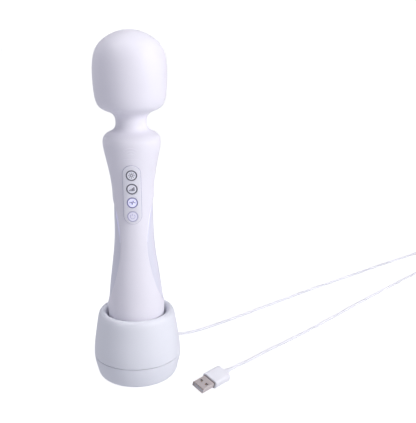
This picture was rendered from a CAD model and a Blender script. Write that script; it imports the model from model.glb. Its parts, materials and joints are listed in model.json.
# %% [markdown]
# # A wand massager standing in its charging dock
# The wand is a slim handle with a round head on a bending neck. It stands upright in a pot-shaped
# dock, and a thin lead runs from the dock to a USB plug. This lesson builds everything that is seen:
# the soft skins, the keypad, the lead and all the finishes. The mechanical pieces come from the frame.

# %% Load the frame
import json
import math

import bmesh
import bpy
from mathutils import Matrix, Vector
from mathutils.bvhtree import BVHTree

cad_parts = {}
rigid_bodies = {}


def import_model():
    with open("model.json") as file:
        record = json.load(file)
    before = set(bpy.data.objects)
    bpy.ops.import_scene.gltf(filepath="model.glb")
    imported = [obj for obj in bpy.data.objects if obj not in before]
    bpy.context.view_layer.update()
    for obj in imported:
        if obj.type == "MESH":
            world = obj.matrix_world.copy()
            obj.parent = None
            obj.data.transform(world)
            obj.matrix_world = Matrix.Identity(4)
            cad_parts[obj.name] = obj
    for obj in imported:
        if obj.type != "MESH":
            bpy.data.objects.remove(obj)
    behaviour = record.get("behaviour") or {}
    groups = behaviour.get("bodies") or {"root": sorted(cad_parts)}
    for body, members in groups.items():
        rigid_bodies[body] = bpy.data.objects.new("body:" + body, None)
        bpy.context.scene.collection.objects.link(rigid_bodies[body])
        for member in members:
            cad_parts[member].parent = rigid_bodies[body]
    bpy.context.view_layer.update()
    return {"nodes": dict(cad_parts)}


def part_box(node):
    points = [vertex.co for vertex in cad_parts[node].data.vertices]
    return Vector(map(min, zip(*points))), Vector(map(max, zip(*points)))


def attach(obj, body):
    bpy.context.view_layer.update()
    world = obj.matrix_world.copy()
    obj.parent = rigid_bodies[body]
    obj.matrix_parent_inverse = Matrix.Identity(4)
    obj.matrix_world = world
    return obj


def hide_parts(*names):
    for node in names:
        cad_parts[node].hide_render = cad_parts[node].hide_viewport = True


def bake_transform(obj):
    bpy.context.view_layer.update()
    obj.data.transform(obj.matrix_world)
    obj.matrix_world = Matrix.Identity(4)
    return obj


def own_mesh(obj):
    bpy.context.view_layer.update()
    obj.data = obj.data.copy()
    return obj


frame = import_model()
MM = 0.001

# %% [markdown]
# ## Camera, lights and floor
# A product shot of a pale object needs a white table, one soft light low on the right for the bright
# side, a weaker one overhead for the head and the dock's rim, and a pale cool sky that keeps the left
# side readable. A bright sky alone would leave a pale object flat. The view is from a little above.

# %% Camera
bpy.ops.object.camera_add(location=(0.03068, -0.58730, 0.315),
                          rotation=(math.radians(73.65), 0, math.radians(-2.9)))
camera = bpy.context.object
camera.data.lens = 63.83
camera.data.clip_start = 0.01
bpy.context.scene.camera = camera
bpy.context.scene.view_settings.view_transform = "Standard"
print("camera at", tuple(round(c, 3) for c in camera.location))


# %% Lights
def area_light(name, place, target, size, power, colour):
    """A square soft light that looks at a target."""
    bpy.ops.object.light_add(type="AREA", location=place)
    light = bpy.context.object
    light.name = name
    light.rotation_euler = (Vector(target) - Vector(place)).to_track_quat("-Z", "Y").to_euler()
    light.data.size = size
    light.data.energy = power
    light.data.color = colour


KEY_POWER = 10.2
TOP_POWER = 3.2
area_light("key", (0.95, -0.62, 0.62), (0, 0, 0.15), 0.6, KEY_POWER, (1.0, 0.985, 0.985))
area_light("top", (-0.25, 0.05, 1.2), (0, 0, 0.2), 0.5, TOP_POWER, (0.985, 0.975, 1.0))

# %% Sky
SKY_LEVEL = 0.53
SKY_FALL = 0.21             # the table sends more light up than the room sends down
sky = bpy.data.worlds.new("studio")
sky.use_nodes = True
sky_nodes = sky.node_tree.nodes
upward = sky_nodes.new("ShaderNodeSeparateXYZ")
level = sky_nodes.new("ShaderNodeMath")
level.operation = "MULTIPLY_ADD"
level.inputs[1].default_value = -SKY_FALL
level.inputs[2].default_value = SKY_LEVEL
sky_links = sky.node_tree.links
sky_links.new(sky_nodes.new("ShaderNodeTexCoord").outputs["Generated"], upward.inputs[0])
sky_links.new(upward.outputs["Z"], level.inputs[0])
sky_links.new(level.outputs[0], sky_nodes["Background"].inputs["Strength"])
sky_nodes["Background"].inputs["Color"].default_value = (0.9, 0.905, 1.0, 1)
bpy.context.scene.world = sky
print("sky strength from %.2f above to %.2f below" % (SKY_LEVEL - SKY_FALL, SKY_LEVEL + SKY_FALL))

# %% Floor and walls
STAGE_SIZE = 8
WALL_AT = 3.9
FLOOR_GLOW = 0.88
WALL_GLOW = 1.0


def stage_plane(name, place, rotation, glow):
    """A white plane of the studio, which gives off part of its own light."""
    bpy.ops.mesh.primitive_plane_add(size=STAGE_SIZE, location=place, rotation=rotation)
    plane = bpy.context.object
    plane.name = name
    paper = bpy.data.materials.new(name)
    paper.use_nodes = True
    shader = paper.node_tree.nodes["Principled BSDF"]
    shader.inputs["Base Color"].default_value = (0.3, 0.3, 0.32, 1)
    shader.inputs["Roughness"].default_value = 0.9
    shader.inputs["Emission Color"].default_value = (1, 1, 1, 1)
    shader.inputs["Emission Strength"].default_value = glow
    plane.data.materials.append(paper)
    plane.visible_diffuse = False
    plane.visible_glossy = False
    return plane


stage_plane("floor", (0, 0, 0), (0, 0, 0), FLOOR_GLOW)
for i in range(4):
    turn = i * math.pi / 2
    place = (WALL_AT * math.sin(turn), WALL_AT * math.cos(turn), 0)
    wall = stage_plane("backdrop_%d" % i, place, (math.pi / 2, 0, -turn), WALL_GLOW)
    wall.visible_shadow = False
print("stage: one floor and four walls")

# %% [markdown]
# ## The lead
# The lead leaves a strain relief low on the dock's rear right side, comes down to the table, runs off
# to the right in an easy curve, is put away there as a neat coil, and comes back to the plug. It is
# one smooth NURBS line. A bezier line would need a handle at each point, and a NURBS line of order 3
# rounds the route by itself. The coil's turns are more points of the same line.

# %% Route of the lead
CORD_D = 2.8
CORD_Z = 1.45
DOCK_ROUTE = [
    (22.535, 42.382, 8.0), (26.76, 50.33, 8.0), (32.6, 58.4, 6.0), (40.6, 65.4, 2.6),
    (54.0, 73.6, CORD_Z), (80.0, 91.6, CORD_Z), (116.0, 119.6, CORD_Z), (152.0, 148.4, CORD_Z),
    (196.0, 182.2, CORD_Z), (241.0, 214.9, CORD_Z), (287.0, 248.8, CORD_Z), (329.0, 277.6, CORD_Z),
]
PLUG_ROUTE = [
    (350.5, 247.0, CORD_Z), (316.0, 217.5, CORD_Z), (282.0, 185.6, CORD_Z), (246.0, 151.9, CORD_Z),
    (209.5, 116.4, CORD_Z), (174.0, 81.2, CORD_Z), (140.0, 49.4, CORD_Z), (112.0, 25.4, CORD_Z),
    (98.5, 11.0, 1.6), (90.0, 1.2, 3.4), (83.43, -6.99, 5.1), (77.82, -12.7, 5.1),
]
COIL_CENTRE = (369.8, 287.1)
COIL_IN_R = 15.9
COIL_OUT_R = 18.7
COIL_TURNS = 3.5
COIL_START = math.radians(130)
TURN_POINTS = 16


def coil_points():
    """Turns that wind inwards on the table and then outwards on top, clockwise."""
    count = round(COIL_TURNS * TURN_POINTS)
    points = []
    for i in range(count + 1):
        share = i / count
        inward = 1 - abs(2 * share - 1)
        radius = COIL_OUT_R + (COIL_IN_R - COIL_OUT_R) * inward
        height = CORD_Z + CORD_D * min(1, max(0, (share - 0.46) / 0.08))
        angle = COIL_START - 2 * math.pi * COIL_TURNS * share
        points.append((COIL_CENTRE[0] + radius * math.cos(angle),
                       COIL_CENTRE[1] + radius * math.sin(angle), height))
    return points


route = DOCK_ROUTE + coil_points() + PLUG_ROUTE
line = bpy.data.curves.new("lead", "CURVE")
line.dimensions = "3D"
spline = line.splines.new("NURBS")
spline.points.add(len(route) - 1)
for point, (x, y, z) in zip(spline.points, route):
    point.co = (x * MM, y * MM, z * MM, 1)
spline.order_u = 3
spline.use_endpoint_u = True
spline.resolution_u = 8
line.bevel_depth = CORD_D / 2 * MM
line.bevel_resolution = 4
line.use_fill_caps = True
lead = bpy.data.objects.new("lead", line)
bpy.context.scene.collection.objects.link(lead)
print("lead route:", len(route), "points")


# %% [markdown]
# ## Tools for modelling
# A few short helpers do what a hand does over and over: pick one piece, go into edit mode, select
# by place, apply a modifier, and set a finished piece down at the origin.

# %% Helpers
def alone(piece):
    """Select this piece only, and make it the active one."""
    bpy.ops.object.select_all(action="DESELECT")
    piece.select_set(True)
    bpy.context.view_layer.objects.active = piece


def settle(piece):
    """Put the piece's place, turn and size into its mesh."""
    alone(piece)
    bpy.ops.object.transform_apply(location=True, rotation=True, scale=True)


def edit(piece, mode="VERT"):
    """Go into edit mode with nothing selected."""
    alone(piece)
    bpy.ops.object.mode_set(mode="EDIT")
    bpy.ops.mesh.select_mode(type=mode)
    bpy.ops.mesh.select_all(action="DESELECT")


def leave():
    bpy.ops.object.mode_set(mode="OBJECT")


def pick(piece, kind, test):
    """Select the verts, edges or faces of the piece in edit mode that pass a test."""
    mesh = bmesh.from_edit_mesh(piece.data)
    for part in getattr(mesh, kind):
        if test(part):
            part.select_set(True)
    mesh.select_flush_mode()
    bmesh.update_edit_mesh(piece.data)


def modify(piece, kind, **settings):
    """Add a modifier with these settings and apply it."""
    alone(piece)
    modifier = piece.modifiers.new(kind.lower(), kind)
    for key, value in settings.items():
        setattr(modifier, key, value)
    bpy.ops.object.modifier_apply(modifier=modifier.name)


def smooth(piece, degrees):
    """Smooth shading, apart from edges that are sharper than this."""
    alone(piece)
    bpy.ops.object.shade_smooth_by_angle(angle=math.radians(degrees))


print("modelling helpers are ready")


# %% The wand's radius
def tree_of(*names):
    """One search tree over some of the frame's nodes."""
    points = []
    faces = []
    for name in names:
        mesh = frame["nodes"][name].data
        shift = len(points)
        points += [v.co.copy() for v in mesh.vertices]
        faces += [[i + shift for i in p.vertices] for p in mesh.polygons]
    return BVHTree.FromPolygons(points, faces)


wand_tree = tree_of("handle_skin", "neck_sleeve", "head_skin")


def radius_at(height):
    """The wand's radius at a height in millimetres, felt from behind."""
    hit = wand_tree.ray_cast(Vector((0, 60 * MM, height * MM)), Vector((0, -1, 0)))[0]
    return hit.y / MM


print("wand radius at its waist: %.2f mm" % radius_at(154))

# %% [markdown]
# ## The silicone skin
# On the real wand one soft skin covers the handle, the neck and the head. It is made here as a stack
# of rings: a circle is extruded upwards row by row and scaled to the wand's radius, as on a lathe.
# A spun outline would do too, but rings can be slid round the wand, so that some columns of the
# grid run along the edges of the two leaf-shaped side panels. Then the rounded step at the leaf is
# real geometry, with no cutting. One subdivision rounds it off, and Solidify gives the wall.

# %% Leaf outline
# Half width and height of the leaf in the side view, from its upper tip to its lower one.
LEAF = [(156.0, 0.0), (152.6, 5.4), (147.5, 9.0), (140.5, 11.2), (130.0, 12.9), (117.0, 14.2),
        (103.0, 14.9), (88.0, 14.1), (77.0, 11.2), (68.9, 5.6), (65.5, 0.0)]
LEAF_TOP = LEAF[0][0]
LEAF_LOW = LEAF[-1][0]
LEAF_DEPTH = 1.0
TIP_WIDTH = 0.5             # the columns never come closer together than this
COLUMNS = 60
QUARTER = COLUMNS // 4


def leaf_half_width(height):
    """The leaf's half width at a height, on a smooth line through its points."""
    if not LEAF_LOW < height < LEAF_TOP:
        return 0.0
    i = next(k for k in range(len(LEAF) - 1) if LEAF[k + 1][0] <= height)
    (z0, w0), (z1, w1) = LEAF[i], LEAF[i + 1]
    slopes = []
    for k in (i, i + 1):
        before, after = LEAF[max(k - 1, 0)], LEAF[min(k + 1, len(LEAF) - 1)]
        slopes.append((after[1] - before[1]) / (after[0] - before[0]))
    span = z1 - z0
    t = (height - z0) / span
    return ((1 + 2 * t) * (1 - t) ** 2 * w0 + t * (1 - t) ** 2 * span * slopes[0]
            + t * t * (3 - 2 * t) * w1 + t * t * (t - 1) * span * slopes[1])


def half_arc(height, radius):
    """Half the leaf's width, measured round the wand."""
    width = min(max(leaf_half_width(height), TIP_WIDTH), 0.95 * radius)
    return radius * math.asin(width / radius)


print("leaf is %.1f mm wide at its widest" % (2 * leaf_half_width(103)))

# %% Columns that follow the leaf
# For each column, counted from the leaf's middle: its distance inside the leaf's edge, and how much
# of the leaf's depth it takes.
STEP_INSIDE = {3: 2.1, 4: 1.35, 5: 0.75, 6: 0.1, 7: -0.6, 8: -1.5}
STEP_DEPTH = [1, 1, 1, 1, 1, 0.94, 0.15, 0, 0]
SPLIT = 5                   # columns up to this one are the leaf's
CALM = 16.0                 # past the leaf's tips, the columns are even again after this height


def column_turn(column, height, radius):
    """(angle from the leaf's middle, depth under the skin) of a column at a height."""
    arc = half_arc(height, radius)
    size = min(1, arc / 5)
    edge = arc - STEP_INSIDE[3] * size
    whole = radius * math.pi / 2
    if column < 3:
        place = edge * column / 3
    elif column <= 8:
        inside = STEP_INSIDE[column]
        place = arc - inside * (size if inside > 0 else 1)
    else:
        start = arc - STEP_INSIDE[8]
        place = start + (whole - start) * (column - 8) / (QUARTER - 8)
    away = max(height - LEAF_TOP, LEAF_LOW - height, 0) / CALM
    even = whole * column / QUARTER
    share = min(1, away) ** 0.8
    place += (even - place) * share
    depth = STEP_DEPTH[column] if column < len(STEP_DEPTH) else 0
    fade = min(1, leaf_half_width(height) / 4)
    return place / radius, depth * LEAF_DEPTH * fade * fade * (3 - 2 * fade)


def rings(name, heights):
    """A stack of rings through the given heights, open at both ends."""
    start = radius_at(heights[0]) * MM
    bpy.ops.mesh.primitive_circle_add(vertices=COLUMNS, radius=start, fill_type="NOTHING",
                                      location=(0, 0, heights[0] * MM))
    piece = bpy.context.object
    piece.name = name
    settle(piece)
    edit(piece)
    bpy.ops.mesh.select_all(action="SELECT")
    for below, above in zip(heights, heights[1:]):
        grow = radius_at(above) / radius_at(below)
        rise = (0, 0, (above - below) * MM)
        bpy.ops.mesh.extrude_region_move(TRANSFORM_OT_translate={"value": rise})
        bpy.ops.transform.resize(value=(grow, grow, 1), center_override=(0, 0, above * MM))
    leave()
    return piece


def point_out(piece):
    """Turn the faces outwards, if the first one looks at the wand's axis."""
    face = piece.data.polygons[0]
    if face.normal.dot(Vector((face.center.x, face.center.y, 0))) < 0:
        edit(piece)
        bpy.ops.mesh.select_all(action="SELECT")
        bpy.ops.mesh.flip_normals()
        leave()


def slide_columns(piece):
    """Slide the columns round the wand to the leaf's edges, and sink the leaf."""
    mark = piece.data.attributes.new("column", "INT", "POINT")
    for vertex in piece.data.vertices:
        radius = math.hypot(vertex.co.x, vertex.co.y)
        count = round(math.atan2(vertex.co.y, vertex.co.x) / (2 * math.pi) * COLUMNS) % COLUMNS
        quarter, along = divmod(count, QUARTER)
        column = along if quarter in (0, 2) else QUARTER - along
        turn, depth = column_turn(column, vertex.co.z / MM, radius / MM)
        middle = (0, math.pi, math.pi, 2 * math.pi)[quarter]
        angle = middle + turn if quarter in (0, 2) else middle - turn
        reach = radius - depth * MM
        vertex.co.x = reach * math.cos(angle)
        vertex.co.y = reach * math.sin(angle)
        mark.data[vertex.index].value = column


def steps(low, high, count):
    """Evenly spaced heights, without the last."""
    return [low + (high - low) * i / count for i in range(count)]


SEAM = 217.5
handle_rows = ([19.06, 19.3, 19.8, 20.8, 22.5, 25.0, 28.0, 32.0, 36.0] + steps(40, LEAF_LOW, 10)
               + steps(LEAF_LOW, LEAF_TOP, 44) + steps(LEAF_TOP, 204, 20)
               + steps(204, SEAM, 18) + [SEAM])
wand_skin = rings("wand_skin", handle_rows)
point_out(wand_skin)
slide_columns(wand_skin)
print("wand_skin cage:", len(wand_skin.data.polygons), "faces")

# %% Part the leaves and their light strips from the skin
KEYPAD_LOW = 137.9
KEYPAD_HIGH = 186.1
KEYPAD_WIDTH = 14.1
HIDDEN_LIP = 0.12           # how far the skin goes in under the keypad's edge
GLOW_LOW = 122.0


def columns_of(mesh, face):
    mark = mesh.verts.layers.int["column"]
    return [v[mark] for v in face.verts]


def part_off(piece, name, test):
    """Select the faces that pass a test and make them a piece of their own."""
    edit(piece, "FACE")
    mesh = bmesh.from_edit_mesh(piece.data)
    for face in mesh.faces:
        if test(columns_of(mesh, face), face.calc_center_median() / MM):
            face.select_set(True)
    bmesh.update_edit_mesh(piece.data)
    before = set(bpy.data.objects)
    bpy.ops.mesh.separate(type="SELECTED")
    leave()
    made = (set(bpy.data.objects) - before).pop()
    made.name = name
    return made


leaves = []
glows = []
for side, sign in (("left", -1), ("right", 1)):
    leaf = part_off(wand_skin, side + "_leaf", lambda cols, c: max(cols) <= SPLIT
                    and LEAF_LOW < c.z < LEAF_TOP and c.x * sign > 0)
    glow = part_off(leaf, side + "_glow_strip", lambda cols, c: min(cols) >= 3 and c.z > GLOW_LOW)
    leaves.append(leaf)
    glows.append(glow)


def under_keypad(face):
    """Whether all of a face of the skin lies inside the keypad's outline, on the front."""
    low = KEYPAD_LOW + KEYPAD_WIDTH / 2
    high = KEYPAD_HIGH - KEYPAD_WIDTH / 2
    reach = KEYPAD_WIDTH / 2 - HIDDEN_LIP
    for vertex in face.verts:
        x, y, z = vertex.co / MM
        if y > 0 or math.hypot(x, z - min(max(z, low), high)) > reach:
            return False
    return True


edit(wand_skin, "FACE")
pick(wand_skin, "faces", under_keypad)
bpy.ops.mesh.delete(type="FACE")
leave()
print("leaf:", len(leaves[0].data.polygons), "faces, glow strip:", len(glows[0].data.polygons))

# %% Round off the skins
head_rows = (steps(SEAM, 232, 18) + steps(232, 270, 17)
             + [270.0, 272.4, 274.8, 277.0, 279.2, 281.2]
             + [283.0, 284.6, 285.9, 286.8, 287.4, 287.65])
head_sleeve = rings("head_sleeve", head_rows)
edit(head_sleeve)
pick(head_sleeve, "verts", lambda v: v.co.z > (head_rows[-1] - 0.02) * MM)
bpy.ops.mesh.extrude_region_move(TRANSFORM_OT_translate={"value": (0, 0, 0.1 * MM)})
bpy.ops.mesh.merge(type="CENTER")
leave()
point_out(head_sleeve)

SKIN_WALL = 1.3
for piece in [wand_skin, head_sleeve] + leaves + glows:
    modify(piece, "SUBSURF", levels=1, render_levels=1)
    modify(piece, "SOLIDIFY", thickness=SKIN_WALL * MM, offset=-1)
    smooth(piece, 50)
for piece in (wand_skin, head_sleeve):
    print(piece.name + ":", len(piece.data.polygons), "faces")

# %% [markdown]
# ## Keypad
# The keypad is a raised capsule-shaped surround with four round buttons. All its pieces are modelled
# flat on the XY plane, where circles, insets and bevels are easy, and are then wrapped onto the front
# of the wand. A shrinkwrap would do the same, but it flattens a piece's thickness. A thin darker ring
# lies round the surround, where the silicone meets it and the gap between them is in shade.

# %% Wrap flat pieces onto the wand
GRID = 1.1


def cut_rows(piece, along, low, high, pitch):
    """Cut the piece into strips along X (0) or Y (1), so that it can follow a curved surface."""
    normal = (1, 0, 0) if along == 0 else (0, 1, 0)
    count = max(1, round((high - low) / pitch))
    edit(piece)
    for i in range(1, count):
        at = low + (high - low) * i / count
        place = (at * MM, 0, 0) if along == 0 else (0, at * MM, 0)
        bpy.ops.mesh.select_all(action="SELECT")
        bpy.ops.mesh.bisect(plane_co=place, plane_no=normal)
    leave()


def wrap(piece):
    """Flat X stays X, flat Y becomes the height, and flat Z the distance over the wand's surface."""
    for vertex in piece.data.vertices:
        x, height, proud = vertex.co
        reach = radius_at(height / MM) * MM + proud
        vertex.co = (x, -math.sqrt(max(reach * reach - x * x, 1e-9)), height)
    piece.data.update()


print("strips for wrapping are %.1f mm wide" % GRID)


# %% Flat plates
def disc(name, radius, low, high, place, segments=48):
    """A flat round plate between two heights."""
    x, y = place
    middle = (x * MM, y * MM, (low + high) / 2 * MM)
    bpy.ops.mesh.primitive_cylinder_add(vertices=segments, radius=radius * MM,
                                        depth=(high - low) * MM, location=middle)
    piece = bpy.context.object
    piece.name = name
    settle(piece)
    return piece


def bevel_top(piece, height, width, segments=3):
    """Round the edges that lie at a height."""
    edit(piece, "EDGE")
    pick(piece, "edges", lambda e: all(abs(v.co.z - height * MM) < 1e-6 for v in e.verts)
         and e.calc_face_angle(0) > 0.5)
    bpy.ops.mesh.bevel(offset=width * MM, segments=segments, affect="EDGES")
    leave()


# %% Surround
PANEL_PROUD = 0.8
PANEL_SUNK = -0.9
PANEL_EDGE = 0.28
BUTTON_R = 4.4
BUTTON_GAP = 0.12
BUTTONS = ["glow_button", "level_button", "pulse_button", "power_button"]
BUTTON_TOP = 178.0
BUTTON_PITCH = 11.25
HEIGHTS = {name: BUTTON_TOP - BUTTON_PITCH * i for i, name in enumerate(BUTTONS)}

end_r = KEYPAD_WIDTH / 2


def pill(name, radius, low, high):
    """A flat plate with round ends: a disc whose upper half is moved up."""
    piece = disc(name, radius, low, high, (0, KEYPAD_LOW + end_r), 64)
    edit(piece)
    bpy.ops.mesh.select_all(action="SELECT")
    bpy.ops.transform.rotate(value=math.pi / 64, orient_axis="Z",
                             center_override=(0, (KEYPAD_LOW + end_r) * MM, 0))
    bpy.ops.mesh.select_all(action="DESELECT")
    pick(piece, "verts", lambda v: v.co.y > (KEYPAD_LOW + end_r) * MM)
    bpy.ops.transform.translate(value=(0, (KEYPAD_HIGH - KEYPAD_LOW - KEYPAD_WIDTH) * MM, 0))
    leave()
    return piece


surround = pill("keypad_surround", end_r, PANEL_SUNK, PANEL_PROUD)
bevel_top(surround, PANEL_PROUD, PANEL_EDGE, 3)
for name, height in HEIGHTS.items():
    hole = disc("hole", BUTTON_R + BUTTON_GAP, -3, 3, (0, height), 64)
    modify(surround, "BOOLEAN", operation="DIFFERENCE", object=hole, solver="EXACT")
    bpy.data.objects.remove(hole)
cut_rows(surround, 0, -end_r, end_r, GRID)
cut_rows(surround, 1, KEYPAD_LOW, KEYPAD_HIGH, GRID)
wrap(surround)
smooth(surround, 35)
print("keypad_surround:", len(surround.data.polygons), "faces")

# %% Seam line round the surround
SEAM_WIDTH = 0.28
SEAM_PROUD = 0.1
seam_line = pill("keypad_seam", end_r + SEAM_WIDTH, PANEL_SUNK, SEAM_PROUD)
edit(seam_line, "FACE")
pick(seam_line, "faces", lambda f: abs(f.normal.z) > 0.99)
bpy.ops.mesh.inset(thickness=4 * SEAM_WIDTH * MM)
bpy.ops.mesh.bridge_edge_loops()
leave()
cut_rows(seam_line, 0, -end_r, end_r, GRID)
cut_rows(seam_line, 1, KEYPAD_LOW, KEYPAD_HIGH, GRID)
wrap(seam_line)
smooth(seam_line, 35)
print("keypad_seam:", len(seam_line.data.polygons), "faces")

# %% [markdown]
# ## Buttons
# Each button is a shallow dished cap inside a thin raised ring, with a small raised mark: a sun for
# the light, rising bars for the level, a beat for the pattern and a ring with a bar for power. The
# ring and the mark are pieces of their own, because they have another finish, and all three ride on
# the button's body. The marks are plain bars and rings, as generic as the signs on any switch.

# %% Button caps and rings
CAP_TOP = 0.6
CAP_LOW = -0.45
RING_TOP = 0.74
RING_LOW = 0.25
RING_IN = 3.5
RING_OUT = BUTTON_R - 0.02


def cap(name, height):
    """A round cap with a soft edge and a slightly hollow face."""
    piece = disc(name, BUTTON_R, CAP_LOW, CAP_TOP, (0, height))
    bevel_top(piece, CAP_TOP, 0.3)
    edit(piece, "FACE")
    pick(piece, "faces", lambda f: f.normal.z > 0.99)
    for inward, drop in ((0.5, 0.02), (0.9, 0.06), (0.9, 0.05), (0.9, 0.02)):
        bpy.ops.mesh.inset(thickness=inward * MM)
        bpy.ops.transform.translate(value=(0, 0, -drop * MM))
    bpy.ops.mesh.poke()
    leave()
    wrap(piece)
    smooth(piece, 40)
    return piece


def ring(name, inner, outer, low, high, place, segments=48, round_edge=0.12):
    """A flat ring with soft top edges."""
    piece = disc(name, outer, low, high, place, segments)
    edit(piece, "FACE")
    pick(piece, "faces", lambda f: abs(f.normal.z) > 0.99)
    bpy.ops.mesh.inset(thickness=(outer - inner) * MM)
    bpy.ops.mesh.bridge_edge_loops()
    leave()
    bevel_top(piece, high, round_edge, 2)
    return piece


caps = {name: cap(name + "_cap", height) for name, height in HEIGHTS.items()}
bezels = {}
for name, height in HEIGHTS.items():
    bezels[name] = ring(name + "_ring", RING_IN, RING_OUT, RING_LOW, RING_TOP, (0, height))
    wrap(bezels[name])
    smooth(bezels[name], 40)
print("caps:", len(caps["glow_button"].data.polygons), "faces each")


# %% Marks on the buttons
MARK_TOP = 0.58
MARK_LOW = 0.28


def bar(a, b, width, low=MARK_LOW, high=MARK_TOP):
    """A thin bar from one flat point to another, with round edges along its top."""
    middle = (Vector(a) + Vector(b)) / 2
    span = Vector(b) - Vector(a)
    place = (middle.x * MM, middle.y * MM, (low + high) / 2 * MM)
    bpy.ops.mesh.primitive_cube_add(size=1, location=place,
                                    rotation=(0, 0, math.atan2(span.y, span.x)))
    piece = bpy.context.object
    piece.scale = (span.length * MM, width * MM, (high - low) * MM)
    settle(piece)
    modify(piece, "BEVEL", width=0.06 * MM, segments=1, limit_method="ANGLE")
    return piece


def join(name, pieces):
    """Several pieces as one, the first one's name replaced."""
    bpy.ops.object.select_all(action="DESELECT")
    for piece in pieces:
        piece.select_set(True)
    bpy.context.view_layer.objects.active = pieces[0]
    if len(pieces) > 1:
        bpy.ops.object.join()
    pieces[0].name = name
    return pieces[0]


def polar(radius, degrees, y):
    turn = math.radians(degrees)
    return (radius * math.cos(turn), y + radius * math.sin(turn))


def sun_mark(y):
    rays = [bar(polar(1.65, 45 * i, y), polar(2.45, 45 * i, y), 0.42) for i in range(8)]
    return [ring("sun", 0.75, 1.2, MARK_LOW, MARK_TOP, (0, y), 24, 0.05)] + rays


def level_mark(y):
    across = [-1.75 + 1.1 * i for i in range(4)]
    return [bar((x, y - 1.6), (x, y - 0.7 + 0.75 * i), 0.78) for i, x in enumerate(across)]


def pulse_mark(y):
    beat = [(-2.6, 0), (-1.4, 0), (-0.8, 0.9), (-0.1, -1.5), (0.6, 1.7), (1.2, 0), (2.6, 0)]
    return [bar((a[0], y + a[1]), (b[0], y + b[1]), 0.5) for a, b in zip(beat, beat[1:])]


def power_mark(y):
    arc = [polar(1.9, 125 + 29 * i, y) for i in range(11)]
    return [bar(a, b, 0.42) for a, b in zip(arc, arc[1:])] + [bar((0, y + 0.6), (0, y + 2.3), 0.42)]


MARKS = {"glow_button": sun_mark, "level_button": level_mark,
         "pulse_button": pulse_mark, "power_button": power_mark}
marks = {}
for name, draw in MARKS.items():
    marks[name] = join(name + "_mark", draw(HEIGHTS[name]))
    wrap(marks[name])
    smooth(marks[name], 30)
print("marks:", sum(len(m.data.polygons) for m in marks.values()), "faces")

# %% [markdown]
# ## Relief above the keypad
# Above the keypad the skin carries a small low relief. It is made as three plain ripples and a short
# bar, in the skin's own silicone, which stand about a tenth of a millimetre proud of it. A bump map
# would shade like one too, but it would be flat where the surface turns away.

# %% Relief
RELIEF_PROUD = 0.14
RIPPLE_AT = 193.0


def ripple(radius, y):
    points = [polar(radius, 40 + 20 * i, y) for i in range(6)]
    return [bar(a, b, 0.7, -0.3, RELIEF_PROUD) for a, b in zip(points, points[1:])]


pieces = [bar((-6.0, 191.0), (6.0, 191.0), 0.6, -0.3, RELIEF_PROUD)]
for radius in (2.6, 4.8, 7.0):
    pieces += ripple(radius, RIPPLE_AT)
relief = join("skin_relief", pieces)
cut_rows(relief, 0, -7, 7, 2)
wrap(relief)
smooth(relief, 30)
print("relief:", len(relief.data.polygons), "faces")

# %% [markdown]
# ## Plug
# The plug lies on the table, turned and rolled a little. Its pressed-steel shell, tongue and contacts
# come from the frame. The soft moulded grip is made here, because its rounded edges and its shoulder
# are what catches the light: a box is bevelled, and a ribbed cone leads out of its rear face. A
# subdivided cage would be softer still, but bevels keep the broad sides flat. A dark metal collar
# sits where the shell goes into the grip.

# %% Grip of the plug
PLUG_TIP = (50.2, -40.8, 5.1)
PLUG_HEADING = math.radians(45.5)
PLUG_ROLL = math.radians(18)
SHELL_EXPOSED = 13.9
GRIP = (19.0, 15.6, 7.6)
GRIP_END = SHELL_EXPOSED + GRIP[0]
LONG_EDGE = 2.6
REAR_EDGE = 1.7
FRONT_EDGE = 0.35


def lay_plug(piece):
    """Roll, turn and move a piece from the plug's own frame, X from tip to cable, to its place."""
    piece.rotation_euler = (PLUG_ROLL, 0, PLUG_HEADING)
    piece.location = Vector(PLUG_TIP) * MM
    settle(piece)
    smooth(piece, 40)


def block(name, size, middle):
    """A box in the plug's own frame, from its size and the place of its middle along X."""
    bpy.ops.mesh.primitive_cube_add(size=1, location=(middle * MM, 0, 0))
    piece = bpy.context.object
    piece.name = name
    piece.scale = Vector(size) * MM
    settle(piece)
    return piece


def round_end(piece, at, width, segments):
    """Bevel the edges of one end of the box in edit mode."""
    bpy.ops.mesh.select_all(action="DESELECT")
    pick(piece, "edges", lambda e: all(abs(v.co.x - at * MM) < 1e-6 for v in e.verts))
    bpy.ops.mesh.bevel(offset=width * MM, segments=segments, affect="EDGES")


grip = block("plug_overmold", GRIP, SHELL_EXPOSED + GRIP[0] / 2)
edit(grip, "EDGE")
pick(grip, "edges", lambda e: abs(e.verts[0].co.x - e.verts[1].co.x) > 1 * MM)
bpy.ops.mesh.bevel(offset=LONG_EDGE * MM, segments=5, affect="EDGES")
round_end(grip, GRIP_END, REAR_EDGE, 4)
round_end(grip, SHELL_EXPOSED, FRONT_EDGE, 2)
leave()
edit(grip, "FACE")
pick(grip, "faces", lambda f: f.normal.x > 0.999)
bpy.ops.mesh.inset(thickness=0.5 * MM)
leave()
lay_plug(grip)
print("plug_overmold:", len(grip.data.polygons), "faces")

# %% Neck of the plug
NECK_LENGTH = 6.5
NECK_SUNK = 0.4
NECK_WIDE_R = 2.9
NECK_R = 1.95
RIB_START = 1.2
RIB_PITCH = 1.6
RIB_WIDTH = 0.7

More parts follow.
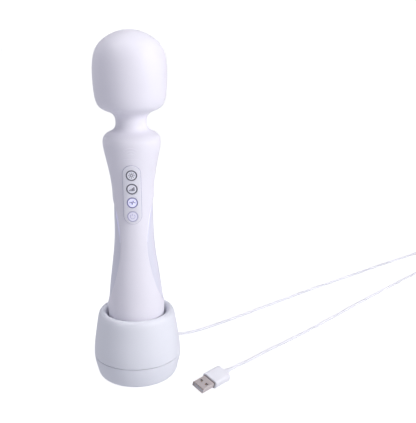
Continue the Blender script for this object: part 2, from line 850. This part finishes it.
bpy.ops.mesh.primitive_cylinder_add(
    vertices=32, radius=NECK_WIDE_R * MM, depth=NECK_LENGTH * MM, rotation=(0, math.pi / 2, 0),
    location=((GRIP_END + NECK_LENGTH / 2 - NECK_SUNK) * MM, 0, 0))
plug_neck = bpy.context.object
plug_neck.name = "plug_neck"
settle(plug_neck)
neck_tip = (GRIP_END + NECK_LENGTH - NECK_SUNK) * MM
taper = NECK_R / NECK_WIDE_R
edit(plug_neck)
pick(plug_neck, "verts", lambda v: v.co.x > neck_tip - 1e-6)
bpy.ops.transform.resize(value=(1, taper, taper), center_override=(neck_tip, 0, 0))
leave()
for i in range(3):
    at = (GRIP_END + RIB_START + RIB_PITCH * i) * MM
    edit(plug_neck, "FACE")
    for cut in (at, at + RIB_WIDTH * MM):
        bpy.ops.mesh.select_all(action="SELECT")
        bpy.ops.mesh.bisect(plane_co=(cut, 0, 0), plane_no=(1, 0, 0))
    bpy.ops.mesh.select_all(action="DESELECT")
    pick(plug_neck, "faces", lambda f: at < f.calc_center_median().x < at + RIB_WIDTH * MM)
    bpy.ops.mesh.inset(thickness=0.12 * MM, depth=-0.22 * MM)
    leave()
lay_plug(plug_neck)
print("plug_neck:", len(plug_neck.data.polygons), "faces")

# %% Collar of the plug
COLLAR = (0.9, 12.7, 5.2)
collar = block("plug_collar", COLLAR, SHELL_EXPOSED - COLLAR[0] / 2)
modify(collar, "BEVEL", width=0.4 * MM, segments=3, limit_method="ANGLE")
lay_plug(collar)
print("plug_collar:", len(collar.data.polygons), "faces")

# %% [markdown]
# ## Springs of the charging pins
# A coil spring under each charging pin shortens when the pin is pressed. The frame's spring is rigid,
# so each one is made again as a NURBS helix with a round section, which can be flattened by the joint.
# A Screw modifier would wind one too, but a curve gives a round wire in one step.

# %% Pin springs
WIRE_R = 0.16
SPRING_TURNS = 4


def pin_spring(side):
    """A helix that fills the box of the frame's spring."""
    low, high = (Vector(corner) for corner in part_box(side + "_pin_spring"))
    radius = (high.x - low.x) / 2 - WIRE_R * MM
    middle = (low + high) / 2
    rise = high.z - low.z - 2 * WIRE_R * MM
    helix = bpy.data.curves.new(side + "_coil", "CURVE")
    helix.dimensions = "3D"
    thread = helix.splines.new("NURBS")
    count = 12 * SPRING_TURNS
    thread.points.add(count)
    for i, point in enumerate(thread.points):
        turn = 2 * math.pi * SPRING_TURNS * i / count
        point.co = (middle.x + radius * math.cos(turn), middle.y + radius * math.sin(turn),
                    low.z + WIRE_R * MM + rise * i / count, 1)
    thread.order_u = 3
    thread.use_endpoint_u = True
    thread.resolution_u = 2
    helix.bevel_depth = WIRE_R * MM
    helix.bevel_resolution = 3
    helix.use_fill_caps = True
    piece = bpy.data.objects.new(side + "_coil", helix)
    bpy.context.scene.collection.objects.link(piece)
    alone(piece)
    bpy.ops.object.convert(target="MESH")
    smooth(piece, 60)
    return piece


springs = {side: pin_spring(side) for side in ("left", "right")}
print("springs:", len(springs["left"].data.polygons), "faces each")

# %% [markdown]
# ## Finishes
# Each finish is a small node graph on a Principled shader. Colours wander a little over a surface,
# roughness varies with fine noise, and a Bump node gives the grain: fine for silicone, coarser for
# moulded plastic, stretched for brushed metal. Maths on values is written with the Socket class, so
# that a mask reads like a formula. Colours go through Mix nodes.

# %% Maths on sockets
class Socket:
    """A node's output that can be used in a formula."""

    def __init__(self, paint, source):
        self.paint = paint
        self.source = source

    def _maths(self, operation, *values):
        settings = {"operation": operation}
        return self.paint.node("ShaderNodeMath", settings, dict(enumerate(values)))

    def __add__(self, other):
        return self._maths("ADD", self, other)

    def __mul__(self, other):
        return self._maths("MULTIPLY", self, other)

    def __sub__(self, other):
        return self._maths("SUBTRACT", self, other)

    def __rsub__(self, other):
        return self._maths("SUBTRACT", other, self)

    def __truediv__(self, other):
        return self._maths("DIVIDE", self, other)

    def above(self, level):
        return self._maths("GREATER_THAN", self, level)

    def clamp(self):
        return self._maths("MINIMUM", self._maths("MAXIMUM", self, 0.0), 1.0)

    __radd__ = __add__


# %% A finish
def tone(code):
    """A colour as it looks on a screen, such as e8e6f4, in the linear numbers that a shader takes."""
    parts = [int(code[i:i + 2], 16) / 255 for i in (0, 2, 4)]
    linear = [c / 12.92 if c <= 0.04045 else ((c + 0.055) / 1.055) ** 2.4 for c in parts]
    return (*linear, 1)


class Finish:
    """A material with a Principled shader; node() is the one way to add a node."""

    def __init__(self, name, colour, roughness, metallic=0.0, **shader):
        self.material = bpy.data.materials.new(name)
        self.material.use_nodes = True
        self.tree = self.material.node_tree
        self.shader = self.tree.nodes["Principled BSDF"]
        self.colour = tone(colour)
        self.shader.inputs["Base Color"].default_value = self.colour
        self.shader.inputs["Roughness"].default_value = roughness
        self.shader.inputs["Metallic"].default_value = metallic
        for key, value in shader.items():
            self.shader.inputs[key.replace("_", " ")].default_value = value
        self.material.diffuse_color = self.colour

    def node(self, kind, settings, values, output=0):
        made = self.tree.nodes.new(kind)
        for key, value in settings.items():
            setattr(made, key, value)
        for key, value in values.items():
            if isinstance(value, Socket):
                self.tree.links.new(value.source, made.inputs[key])
            else:
                made.inputs[key].default_value = value
        return Socket(self, made.outputs[output])

    def feed(self, name, socket):
        self.tree.links.new(socket.source, self.shader.inputs[name])

    def place(self):
        return self.node("ShaderNodeTexCoord", {}, {}, "Object")

    def split(self):
        """Object X, Y and Z as three sockets."""
        whole = self.node("ShaderNodeSeparateXYZ", {}, {"Vector": self.place()})
        return [Socket(self, whole.source.node.outputs[i]) for i in range(3)]

    def stretched(self, scale):
        return self.node("ShaderNodeMapping", {}, {"Vector": self.place(), "Scale": scale})

    def noise(self, scale, detail=2.0, vector=None):
        values = {"Vector": vector or self.place(), "Scale": scale, "Detail": detail}
        return self.node("ShaderNodeTexNoise", {}, values, "Fac")

    def mix(self, share, a, b):
        """A colour between a and b."""
        settings = {"data_type": "RGBA"}
        return self.node("ShaderNodeMix", settings, {0: share, 6: a, 7: b}, 2)

    def grain(self, height, distance, strength=1.0):
        """Bump from a height socket, with the given depth in metres."""
        values = {"Height": height, "Distance": distance, "Strength": strength}
        self.feed("Normal", self.node("ShaderNodeBump", {}, values, "Normal"))


print("a mid grey, 808080, is %.3f in a shader" % tone("808080")[0])

# %% Soft surfaces and metals
finishes = {}


def soft(name, colour, shade, roughness, cell, depth, **shader):
    """A matte surface whose colour wanders towards a shade and whose roughness follows its grain."""
    paint = Finish(name, colour, roughness, **shader)
    wander = paint.noise(22, 3)
    fine = paint.noise(1 / (cell * MM), 3)
    paint.feed("Base Color", paint.mix(wander * 0.7, tone(colour), tone(shade)))
    paint.feed("Roughness", (fine - 0.5) * 0.16 + roughness)
    paint.grain(fine, depth * MM)
    finishes[name] = paint.material


def metal(name, colour, shade, roughness, stretch, metallic=1.0):
    """Metal with fine drawn lines along one direction and a few duller patches."""
    paint = Finish(name, colour, roughness, metallic)
    lines = paint.noise(900, 3, paint.stretched(stretch))
    patches = paint.noise(160, 4)
    paint.feed("Base Color", paint.mix(patches, tone(colour), tone(shade)))
    paint.feed("Roughness", (lines - 0.5) * 0.22 + patches * 0.12 + roughness)
    paint.grain(lines, 0.006 * MM)
    finishes[name] = paint.material


# %% Silicone, plastics and rubber
SKIN = dict(Sheen_Weight=0.25, Sheen_Roughness=0.4, Specular_IOR_Level=0.35)
for name, colour, shade, roughness, cell, depth, extra in (
        ("soft_silicone", "f2f0f8", "ebe9f4", 0.46, 0.35, 0.012, SKIN),
        ("leaf_silicone", "e6e6f2", "dedeec", 0.5, 0.35, 0.014, SKIN),
        ("dock_plastic", "edeff6", "e6e8f1", 0.42, 0.3, 0.01, {"Coat_Weight": 0.08}),
        ("keypad_plastic", "f0eff7", "e9e8f2", 0.36, 0.25, 0.006, {"Coat_Weight": 0.12}),
        ("button_plastic", "f4f3fb", "efeef9", 0.3, 0.25, 0.004, {"Coat_Weight": 0.2}),
        ("shell_plastic", "d9dae2", "cfd0da", 0.5, 0.4, 0.02, {}),
        ("black_plastic", "1d1e22", "26272c", 0.5, 0.35, 0.02, {}),
        ("rubber_foot", "55565e", "4b4c54", 0.8, 0.3, 0.03, {}),
        ("core_rubber", "3a3b42", "44454c", 0.75, 0.5, 0.03, {}),
        ("cord_jacket", "f3f3f8", "ebebf3", 0.48, 0.3, 0.008, {"Sheen_Weight": 0.1}),
        ("tongue", "e8e6ea", "dcdae0", 0.45, 0.2, 0.006, {}),
        ("magnet", "4a4b50", "3c3d42", 0.55, 0.25, 0.02, {}),
        ("wire", "b02a2a", "9c2323", 0.45, 0.5, 0.006, {})):
    soft(name, colour, shade, roughness, cell, depth, **extra)
print("matte finishes:", len(finishes))

# %% Metals
for name, colour, shade, roughness, stretch, metallic in (
        ("steel", "c9cacf", "b4b5bb", 0.3, (1, 1, 0.05), 1.0),
        ("zinc_screw", "c6c8cc", "a9abb0", 0.36, (1, 1, 0.3), 1.0),
        ("plug_metal", "ebe1df", "d3c8c6", 0.34, (0.06, 1, 1), 0.6),
        ("plug_rim", "8f8689", "7c7477", 0.34, (0.06, 1, 1), 0.8),
        ("gold", "e2b867", "cfa252", 0.24, (1, 1, 0.2), 1.0),
        ("bronze", "b9854f", "9c6c3d", 0.38, (1, 1, 0.2), 1.0)):
    metal(name, colour, shade, roughness, stretch, metallic)
print("with the metals:", len(finishes))

# %% [markdown]
# ## Patterned finishes
# Three hidden pieces and the lit ones need a pattern. Windings are a fine wave, the circuit board has
# traces under green lacquer, and the battery has a printed band. Painted images would do too, but
# node patterns need no files and stay sharp close up. The light strip gives off light that fades
# towards its lower end, so a mask along the height drives its emission.

# %% Patterned and lit finishes
winding = Finish("copper", "c8753c", 0.32, 1.0)
turns = winding.node("ShaderNodeTexWave", {"bands_direction": "Z"},
                     {"Vector": winding.place(), "Scale": 700.0, "Distortion": 0.4}, "Fac")
winding.feed("Base Color", winding.mix(turns, tone("8a4a22"), tone("d98a4c")))
winding.grain(turns, 0.08 * MM)
finishes["copper"] = winding.material

board = Finish("board", "1f6b45", 0.34, Coat_Weight=0.4)
cells = board.node("ShaderNodeTexBrick", {}, {"Vector": board.place(), "Scale": 260.0,
                                              "Mortar Size": 0.03}, "Fac")
board.feed("Base Color", board.mix(cells, tone("1c5f3d"), tone("3f9467")))
board.grain(cells, 0.02 * MM)
finishes["board"] = board.material

cell = Finish("wrap", "5a6fb0", 0.3, Coat_Weight=0.3)
height = cell.split()[2]
printed = (height / MM - 70).above(0) * (1 - (height / MM - 76).above(0))
cell.feed("Base Color", cell.mix(printed, tone("4f64a8"), tone("d9dce8")))
cell.feed("Roughness", cell.noise(300) * 0.15 + 0.24)
finishes["wrap"] = cell.material


def lit(name, colour, light, strength, low, high):
    """A milky surface that gives off light, more of it towards the upper height."""
    paint = Finish(name, colour, 0.35, Emission_Strength=strength, Coat_Weight=0.2)
    share = ((paint.split()[2] / MM - low) / (high - low)).clamp()
    cloud = paint.noise(240, 2)
    glow = (share * (0.8 + cloud * 0.4)).clamp()
    paint.feed("Emission Color", paint.mix(glow, tone("000000"), tone(light)))
    paint.feed("Base Color", paint.mix(cloud, tone(colour), tone("f4f4ff")))
    paint.grain(cloud, 0.01 * MM)
    finishes[name] = paint.material


lit("light_guide", "e6e6fb", "9d9cf5", 1.0, 126, 153)
lit("led", "f0f0ff", "b9bcff", 2.0, 100, 110)
lit("pulse_cap", "ecebfc", "b9b8ff", 0.28, 100, 110)
lit("power_cap", "e9e7f7", "b3b0ee", 0.1, 100, 110)

for name, colour, shade, roughness in (
        ("dark_print", "62626f", "6d6d7c", 0.35), ("blue_print", "8585a6", "9090b2", 0.35),
        ("lilac_print", "bdbad6", "c6c3dd", 0.4), ("seam_shade", "b4b3ca", "aaa9c1", 0.6)):
    soft(name, colour, shade, roughness, 0.2, 0.004)
print("finishes:", len(finishes))

# %% Put the finishes on
for node in frame["nodes"].values():
    node.data.materials[0] = finishes[node.data.materials[0].name.split(".")[0]]


def dress(piece, slot, finish=None):
    """Give a new piece its finish, and name the record's slot that it belongs to."""
    piece.data.materials.clear()
    piece.data.materials.append(finishes[finish or slot])


for piece in (wand_skin, head_sleeve, relief):
    dress(piece, "soft_silicone")
for piece in leaves:
    dress(piece, "leaf_silicone")
for piece in glows:
    dress(piece, "light_guide")
for piece in springs.values():
    dress(piece, "steel")
dress(surround, "keypad_plastic")
dress(seam_line, "keypad_plastic", "seam_shade")
for piece in (lead, grip, plug_neck):
    dress(piece, "cord_jacket")
dress(collar, "plug_metal", "plug_rim")
CAP_FINISH = {"pulse_button": "pulse_cap", "power_button": "power_cap"}
PRINTS = dict(zip(BUTTONS, ("dark_print", "dark_print", "blue_print", "lilac_print")))
for name in BUTTONS:
    dress(caps[name], "button_plastic", CAP_FINISH.get(name))
    dress(bezels[name], "button_plastic", PRINTS[name])
    dress(marks[name], "button_plastic", PRINTS[name])
print("dressed", len(frame["nodes"]), "nodes of the frame")

# %% [markdown]
# ## What moves with what
# The head tilts on a neck with two pivots, so the skin is in two halves that meet in the middle of
# the neck. The lower half bends from the handle to the neck, and the upper half from the neck to the
# head. One skin over all of it would have to follow three bodies, and a blend goes between two.
# Buttons ride on their own bodies, and the lead and plug stay with the dock.

# %% Bodies
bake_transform(wand_skin)
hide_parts("handle_skin", "neck_sleeve")
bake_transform(head_sleeve)
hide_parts("head_skin")
for side, leaf, glow in zip(("left", "right"), leaves, glows):
    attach(leaf, "wand")
    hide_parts(side + "_leaf_panel")
    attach(glow, "wand")
    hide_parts(side + "_light_guide")
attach(surround, "wand")
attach(seam_line, "wand")
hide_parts("keypad_panel")
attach(relief, "wand")
for side, piece in springs.items():
    low, high = (Vector(corner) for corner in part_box(side + "_pin_spring"))
    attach(piece, "dock")
    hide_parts(side + "_pin_spring")
    side + "_pin_press"
    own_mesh(piece)
for name in BUTTONS:
    for piece in (caps[name], bezels[name], marks[name]):
        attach(piece, name)
    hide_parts(name)
for piece in (lead, grip, plug_neck, collar):
    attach(piece, "dock")
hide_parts("plug_grip")
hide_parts("dock_lead", "cord_coil", "plug_lead")
